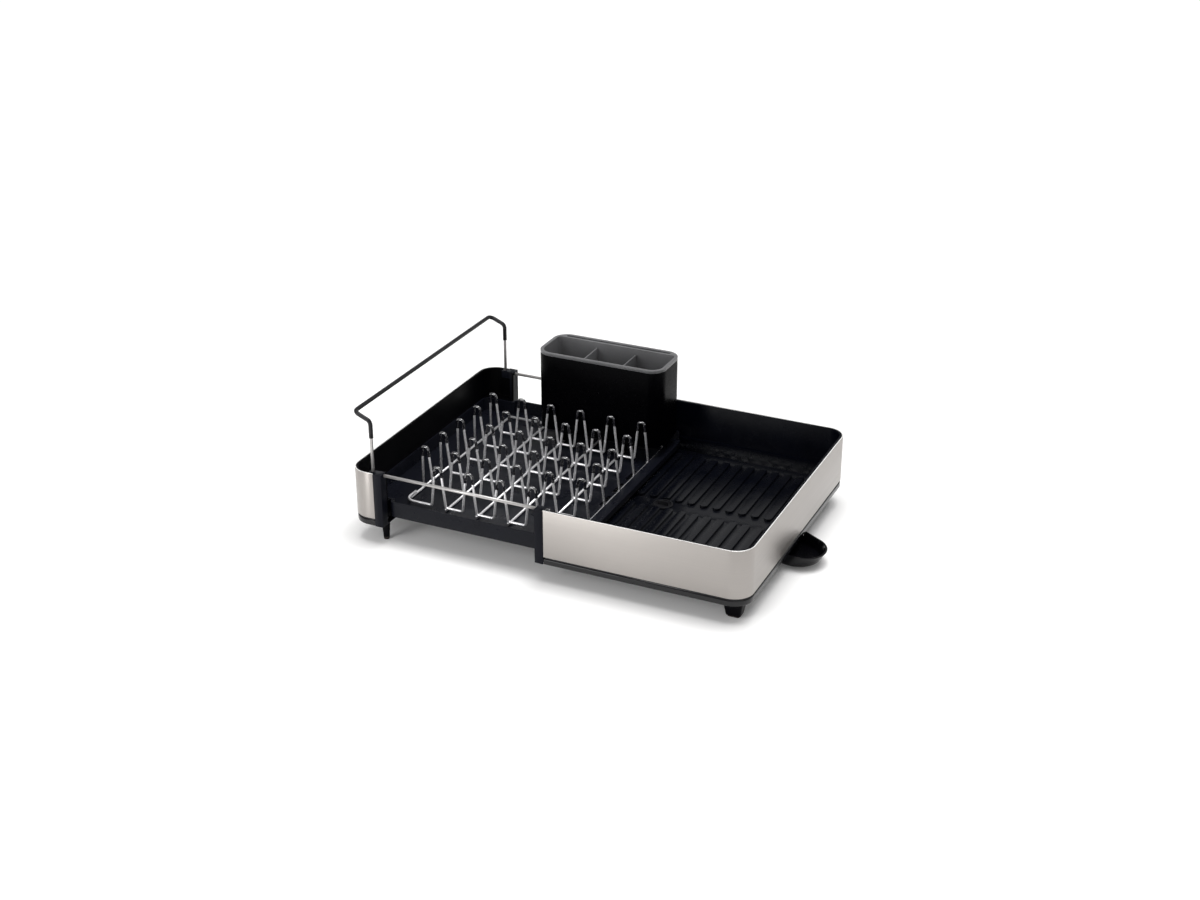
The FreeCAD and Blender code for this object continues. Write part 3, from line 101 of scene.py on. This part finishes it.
def bump(material, shader, height, depth, strength):
    node = add_node(material, "ShaderNodeBump")
    fill(node, Strength=strength, Distance=depth)
    link(material, height, node.inputs["Height"])
    link(material, node.outputs["Normal"], shader.inputs["Normal"])


def upward(owner, coordinates):
    """The Z of texture coordinates: height in metres for Object, sine of elevation for a world."""
    source = add_node(owner, "ShaderNodeTexCoord")
    split = add_node(owner, "ShaderNodeSeparateXYZ")
    link(owner, source.outputs[coordinates], split.inputs["Vector"])
    return split.outputs["Z"]


def cubed(scale):
    return (scale, scale, scale)


def scaled(colour, factor):
    return tuple(min(1.0, channel * factor) for channel in colour)


def uneven_colour(material, shader, colour, pattern, dark, light, start=0.3, end=0.7):
    """Vary the base colour by a pattern, between two shares of the colour."""
    tone = spread(material, pattern, 0.0, 1.0, start, end)
    mixed = tint(material, tone, scaled(colour, dark), scaled(colour, light))
    link(material, mixed, shader.inputs["Base Color"])


def uneven_gloss(material, shader, pattern, low, high):
    """Vary the roughness by a pattern."""
    link(material, spread(material, pattern, low, high), shader.inputs["Roughness"])


# Materials

def moulded_plastic(name, colour, roughness, shine=0.5):
    """Moulded plastic with a fine spark-eroded grain and slight differences in tone and gloss."""
    material, shader = new_material(name)
    fill(shader, Specular_IOR_Level=shine)
    uneven_colour(material, shader, colour, noise(material, cubed(14.0)), 0.8, 1.25)
    uneven_gloss(material, shader, noise(material, cubed(45.0), 4.0), roughness - 0.05, roughness + 0.06)
    bump(material, shader, noise(material, cubed(900.0), 2.0), depth=0.00003, strength=0.5)
    return material


def brushed_steel(name, colour):
    """Stainless steel brushed along the band, level on every side, so that light spreads up and down."""
    material, shader = new_material(name)
    fill(shader, Metallic=1.0, Anisotropic=0.85, Anisotropic_Rotation=0.25)
    along = add_node(material, "ShaderNodeTangent", direction_type="RADIAL", axis="Z")
    link(material, along.outputs["Tangent"], shader.inputs["Tangent"])
    fine = noise(material, (4.0, 4.0, 3400.0), 4.0, 0.6)
    broad = noise(material, (1.2, 1.2, 420.0))
    uneven_colour(material, shader, colour, fine, 0.965, 1.03, 0.25, 0.75)
    uneven_gloss(material, shader, broad, 0.3, 0.35)
    bump(material, shader, fine, depth=0.000002, strength=0.4)
    return material


def bright_wire(name, colour, roughness, metal=1.0):
    """Drawn steel wire with faint draw marks. Less metal gives the milky look of satin plating."""
    material, shader = new_material(name)
    fill(shader, Metallic=metal)
    marks = noise(material, cubed(1600.0))
    uneven_colour(material, shader, colour, noise(material, cubed(30.0)), 0.93, 1.0)
    uneven_gloss(material, shader, marks, roughness * 0.9, roughness * 1.15)
    bump(material, shader, marks, depth=0.000003, strength=0.3)
    return material


def dipped_rubber(name, colour, roughness, shine=0.3, gloss_coat=0.0):
    """Soft coating or moulded rubber: satin or glossy, with faint orange peel."""
    material, shader = new_material(name)
    fill(shader, Specular_IOR_Level=shine, Coat_Weight=gloss_coat, Coat_Roughness=0.1, Coat_IOR=1.9)
    uneven_colour(material, shader, colour, noise(material, cubed(60.0), 4.0), 0.8, 1.25)
    uneven_gloss(material, shader, noise(material, cubed(150.0)), roughness - 0.06, roughness + 0.08)
    bump(material, shader, noise(material, cubed(500.0), 2.0), depth=0.00004, strength=0.5)
    return material


SHINY_BELOW = 36.0 * MM
MATT_ABOVE = 46.0 * MM
SHINE_OF_FLOOR = 0.35
SHINE_OF_WALLS = 0.04


def shiny_floor(material):
    """Make a tray's ribbed floor shinier than its walls, by height above the table."""
    height = upward(material, "Object")
    level = spread(material, height, SHINE_OF_FLOOR, SHINE_OF_WALLS, SHINY_BELOW, MATT_ABOVE)
    shader = material.node_tree.nodes["Principled BSDF"]
    link(material, level, shader.inputs["Specular IOR Level"])


tray_plastic = moulded_plastic("tray_plastic", (0.0012, 0.0016, 0.0036), 0.26, 0.06)
shiny_floor(tray_plastic)
shell_plastic = moulded_plastic("shell_plastic", (0.001, 0.001, 0.0015), 0.32, 0.05)
pan_plastic = moulded_plastic("pan_plastic", (0.0042, 0.0048, 0.008), 0.3, 0.13)
post_plastic = moulded_plastic("post_plastic", (0.0045, 0.005, 0.0082), 0.38, 0.09)
trim_plastic = moulded_plastic("trim_plastic", (0.003, 0.003, 0.004), 0.14, 0.35)
foot_plastic = moulded_plastic("foot_plastic", (0.001, 0.0009, 0.0018), 0.3, 0.06)
caddy_plastic = moulded_plastic("caddy_plastic", (0.0003, 0.0003, 0.0007), 0.26, 0.03)
liner_plastic = moulded_plastic("liner_plastic", (0.102, 0.102, 0.106), 0.34, 0.4)
spout_plastic = moulded_plastic("spout_plastic", (0.002, 0.002, 0.003), 0.18, 0.25)
nylon = moulded_plastic("nylon", (0.62, 0.61, 0.57), 0.5)
steel_band = brushed_steel("steel_band", (0.365, 0.343, 0.325))
# Near-white, mostly non-metal steel for the bands' rolled edges: a painted highlight line, far lighter
# than the band's own steel.
painted_highlight_steel = bright_wire("painted_highlight_steel", (0.98, 0.975, 0.96), 0.3, 0.25)
screw_steel = bright_wire("screw_steel", (0.55, 0.55, 0.56), 0.3)
chrome_wire = bright_wire("chrome_wire", (0.92, 0.915, 0.93), 0.26, 0.6)
rod_steel = bright_wire("rod_steel", (0.46, 0.448, 0.44), 0.3, 0.6)
rail_coating = dipped_rubber("rail_coating", (0.008, 0.008, 0.0095), 0.36, 0.25)
prong_coating = dipped_rubber("prong_coating", (0.003, 0.0028, 0.006), 0.2, 1.0, 1.0)
foot_rubber = dipped_rubber("foot_rubber", (0.02, 0.014, 0.012), 0.6)
plug_rubber = dipped_rubber("plug_rubber", (0.005, 0.005, 0.0065), 0.36)


# Finish of each CAD node

WELD_DISTANCE = 0.001 * MM
BEVEL_STEPS = 3
SHARP_ANGLE = math.radians(40)


def make_smooth(mesh):
    mesh.polygons.foreach_set("use_smooth", [True] * len(mesh.polygons))
    mesh.update()


def dress(names, material, edge=0.0):
    """Give the nodes a material, smooth curved faces and edges rounded by `edge` millimetres."""
    for name in names:
        node = NODES[name]
        node.data.materials.clear()
        node.data.materials.append(material)
        node.modifiers.new("weld", "WELD").merge_threshold = WELD_DISTANCE
        if edge:
            rounding = node.modifiers.new("rounded_edges", "BEVEL")
            rounding.width = edge * MM
            rounding.segments = BEVEL_STEPS
            rounding.limit_method = "ANGLE"
            rounding.angle_limit = SHARP_ANGLE
            rounding.use_clamp_overlap = True
            rounding.harden_normals = False
        make_smooth(node.data)


def numbered(stem, count):
    return ["%s_%d" % (stem, number) for number in range(1, count + 1)]


ROWS = 6

dress(["left_steel_band", "sliding_steel_band"], steel_band, 0.25)
dress(["sliding_tray"], tray_plastic, 0.5)
dress(["left_shell"], shell_plastic, 0.5)
dress(["main_tray"], pan_plastic, 0.6)
dress(["front_left_post", "back_left_post", "front_tray_post", "back_tray_post"], post_plastic, 0.6)
dress(["left_base", "sliding_base_trim"], trim_plastic, 0.8)
dress(["front_left_foot", "back_left_foot", "front_right_foot", "back_right_foot"], foot_plastic, 0.5)
dress(["left_foot_tips", "right_foot_pads"], foot_rubber, 0.3)
dress(["front_guide_rod", "back_guide_rod", "side_rail"], rod_steel)
dress(numbered("rack_row_wire", ROWS) + ["rack_runner_wires", "rack_back_wire"], chrome_wire)
dress(numbered("prong_tips_row", ROWS), prong_coating)
dress(["side_rail_sleeve"], rail_coating)
dress(["guide_rod_stops"], prong_coating, 0.3)
dress(["left_base_screws", "left_foot_screws", "right_foot_screws", "gutter_screws"], screw_steel)
dress(["drain_gutter", "spout_retaining_ring"], tray_plastic, 0.4)
dress(["drain_spout"], spout_plastic, 0.5)
dress(["drain_plug"], plug_rubber, 0.4)
dress(["tray_glides"], nylon, 0.4)
dress(["caddy_body"], caddy_plastic, 0.5)
dress(["caddy_liner"], liner_plastic, 0.6)
dress(["caddy_dividers"], liner_plastic, 0.4)


# Added pieces: the bands' rolled top edges, in a near-white steel that paints a bright highlight line
# along them, and the weld beads of the plate rack

HALF_DEPTH = 185.0 * MM
CORNER_RADIUS = 25.0 * MM
CORNER_STEPS = 14
LEFT_END = -283.0 * MM
RIGHT_END = 247.0 * MM
LEFT_BAND_OPEN = -246.7 * MM
RIGHT_BAND_OPEN = -12.3 * MM
EDGE_RADIUS = 0.75 * MM
EDGE_SIDES = 12
EDGE_HEIGHT = 98.15 * MM
FIRST_ROW = -137.2 * MM
ROW_PITCH = 46.03 * MM
RUNNERS = [x * MM for x in (-230.0, -171.8, -127.8, -83.9, -39.9, 4.05)]
WELD_HEIGHT = 43.52 * MM
WELD_SIZE = (2.2 * MM, 1.9 * MM, 0.9 * MM)
WELD_TURNS = (0.9, 1.7)
WELD_WAVES = (2.3, 4.1)
WELD_UNEVENNESS = 0.12


def add_object(name, data):
    """A new object in the scene."""
    made = bpy.data.objects.new(name, data)
    bpy.context.scene.collection.objects.link(made)
    return made


def add_piece(name, work, material, body):
    """Turn a bmesh into a smooth piece that moves with a body."""
    mesh = bpy.data.meshes.new(name)
    work.to_mesh(mesh)
    work.free()
    mesh.materials.append(material)
    make_smooth(mesh)
    piece = add_object(name, mesh)
    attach(piece, body)


def around_end(open_x, end_x, side, inset):
    """Points and outward directions round one end of the rack, `inset` inside the band's outer face."""
    radius = CORNER_RADIUS - inset
    centre_x = end_x - side * CORNER_RADIUS
    places = [(Vector((open_x, -HALF_DEPTH + inset)), Vector((0, -1)))]
    for half in (-1, 1):
        centre = Vector((centre_x, half * (HALF_DEPTH - CORNER_RADIUS)))
        for step in range(CORNER_STEPS + 1):
            turn = math.pi / 2 * step / CORNER_STEPS
            if half < 0:
                outward = Vector((side * math.sin(turn), -math.cos(turn)))
            else:
                outward = Vector((side * math.cos(turn), math.sin(turn)))
            places.append((centre + outward * radius, outward))
    places.append((Vector((open_x, HALF_DEPTH - inset)), Vector((0, 1))))
    return places


def rolled_edge(name, open_x, end_x, side, body):
    """The rounded top edge of a steel band, a thin bead that follows the band, coloured near-white as a
    painted highlight line.
    """
    work = bmesh.new()
    rings = []
    for centre, outward in around_end(open_x, end_x, side, EDGE_RADIUS):
        ring = []
        for step in range(EDGE_SIDES):
            angle = 2 * math.pi * step / EDGE_SIDES
            flat = centre + outward * (EDGE_RADIUS * math.cos(angle))
            ring.append(work.verts.new((flat.x, flat.y, EDGE_HEIGHT + EDGE_RADIUS * math.sin(angle))))
        rings.append(ring)
    for near, far in zip(rings, rings[1:]):
        for step in range(EDGE_SIDES):
            following = (step + 1) % EDGE_SIDES
            work.faces.new((near[step], near[following], far[following], far[step]))
    work.faces.new(rings[0])
    work.faces.new(rings[-1])
    bmesh.ops.recalc_face_normals(work, faces=work.faces)
    add_piece(name, work, painted_highlight_steel, body)


def weld_beads():
    """A flattened, slightly uneven bead where each row wire of the plate rack crosses a runner wire.

    The left runner starts behind the front row wire's bend and the right one at the second row,
    so the front row has no bead on either."""
    work = bmesh.new()
    for row in range(ROWS):
        for column, x in enumerate(RUNNERS):
            if row == 0 and column in (0, len(RUNNERS) - 1):
                continue
            centre = Vector((x, FIRST_ROW + row * ROW_PITCH, WELD_HEIGHT))
            turned = Matrix.Rotation(WELD_TURNS[0] * row + WELD_TURNS[1] * column, 4, "Z")
            wide = 1.0 + WELD_UNEVENNESS * math.sin(WELD_WAVES[0] * row + WELD_WAVES[1] * column)
            shape = Matrix.Diagonal((*(size * wide for size in WELD_SIZE), 1.0))
            bmesh.ops.create_icosphere(work, subdivisions=3, radius=1.0,
                                       matrix=Matrix.Translation(centre) @ turned @ shape)
    add_piece("wire_welds", work, chrome_wire, "plate_rack")


rolled_edge("left_band_edge", LEFT_BAND_OPEN, LEFT_END, -1, "main_unit")
rolled_edge("sliding_band_edge", RIGHT_BAND_OPEN, RIGHT_END, 1, "sliding_unit")
weld_beads()


# Studio: floor, white surroundings and soft lamps

FLOOR_HALF = 4.0
FLOOR_COLOUR = (0.98, 0.975, 0.97, 1.0)
FLOOR_GLOW = 0.04
WHITE = (1.0, 1.0, 1.0, 1.0)


def seen_directly(material):
    """1 for camera, mirror and transmitted rays, 0 for the light on the object."""
    path = add_node(material, "ShaderNodeLightPath")
    total = path.outputs["Is Camera Ray"]
    for output in ("Is Glossy Ray", "Is Transmission Ray"):
        larger = add_node(material, "ShaderNodeMath", operation="MAXIMUM")
        link(material, total, larger.inputs[0])
        link(material, path.outputs[output], larger.inputs[1])
        total = larger.outputs["Value"]
    return total


def make_floor():
    mesh = bpy.data.meshes.new("studio_floor")
    corners = [(-FLOOR_HALF, -FLOOR_HALF, 0), (FLOOR_HALF, -FLOOR_HALF, 0),
               (FLOOR_HALF, FLOOR_HALF, 0), (-FLOOR_HALF, FLOOR_HALF, 0)]
    mesh.from_pydata(corners, [], [(0, 1, 2, 3)])
    floor = add_object("studio_floor", mesh)
    material, shader = new_material("studio_floor")
    material.node_tree.nodes.remove(shader)
    matt = add_node(material, "ShaderNodeBsdfDiffuse")
    fill(matt, Color=FLOOR_COLOUR)
    glow = add_node(material, "ShaderNodeEmission")
    fill(glow, Color=WHITE, Strength=1.0)
    share = add_node(material, "ShaderNodeMath", operation="MULTIPLY")
    share.inputs[1].default_value = FLOOR_GLOW
    mix = add_node(material, "ShaderNodeMixShader")
    link(material, seen_directly(material), share.inputs[0])
    link(material, share.outputs["Value"], mix.inputs["Fac"])
    link(material, matt.outputs["BSDF"], mix.inputs[1])
    link(material, glow.outputs["Emission"], mix.inputs[2])
    link(material, mix.outputs["Shader"], material.node_tree.nodes["Material Output"].inputs["Surface"])
    mesh.materials.append(material)


def make_world(horizon, ceiling, horizon_to, ceiling_from):
    """White surroundings that darken above the horizon, towards the studio's ceiling."""
    world = bpy.data.worlds.new("studio")
    world.use_nodes = True
    bpy.context.scene.world = world
    background = world.node_tree.nodes["Background"]
    fill(background, Color=WHITE)
    level = spread(world, upward(world, "Generated"), horizon, ceiling, horizon_to, ceiling_from)
    link(world, level, background.inputs["Strength"])


def point_at(lamp, direction):
    """Turn a lamp or camera so that it looks along a direction."""
    lamp.rotation_euler = direction.to_track_quat("-Z", "Y").to_euler()


def soft_lamp(name, position, aim, width, height, watts):
    light = bpy.data.lights.new(name, "AREA")
    light.shape = "RECTANGLE"
    light.size = width
    light.size_y = height
    light.energy = watts
    lamp = add_object(name, light)
    lamp.location = position
    point_at(lamp, Vector(aim) - Vector(position))


def soft_sun(name, direction, spread_angle, strength):
    """Even light over the whole floor, from that direction."""
    light = bpy.data.lights.new(name, "SUN")
    light.energy = strength
    light.angle = math.radians(spread_angle)
    point_at(add_object(name, light), -Vector(direction))


make_floor()
make_world(horizon=1.0, ceiling=0.38, horizon_to=0.15, ceiling_from=0.42)
soft_sun("sky_light", (0.1, 0.08, 1.0), spread_angle=44.0, strength=2.0)
soft_lamp("top_lamp", (0.15, 0.1, 1.7), (0, 0, 0.05), width=0.5, height=0.5, watts=5.0)
soft_lamp("front_lamp", (-0.85, -1.7, 0.75), (0, 0, 0.05), width=0.55, height=1.2, watts=14.0)


# Camera at the photograph's viewing angle

CAMERA_AZIMUTH = math.radians(24.77)
CAMERA_ELEVATION = math.radians(25.45)
CAMERA_DISTANCE = 2317.4 * MM
CAMERA_TARGET = Vector((-42.98, 43.89, 73.25)) * MM
FOCAL_PIXELS = 1781.0
FRAME_PIXELS = 1200.0
SENSOR = 36.0


def make_camera():
    data = bpy.data.cameras.new("camera")
    data.sensor_width = SENSOR
    data.lens = FOCAL_PIXELS * SENSOR / FRAME_PIXELS
    camera = add_object("camera", data)
    back = Vector((
        math.sin(CAMERA_AZIMUTH) * math.cos(CAMERA_ELEVATION),
        -math.cos(CAMERA_AZIMUTH) * math.cos(CAMERA_ELEVATION),
        math.sin(CAMERA_ELEVATION),
    ))
    camera.location = CAMERA_TARGET + back * CAMERA_DISTANCE
    point_at(camera, -back)
    bpy.context.scene.camera = camera


make_camera()
bpy.context.scene.view_settings.view_transform = "Standard"
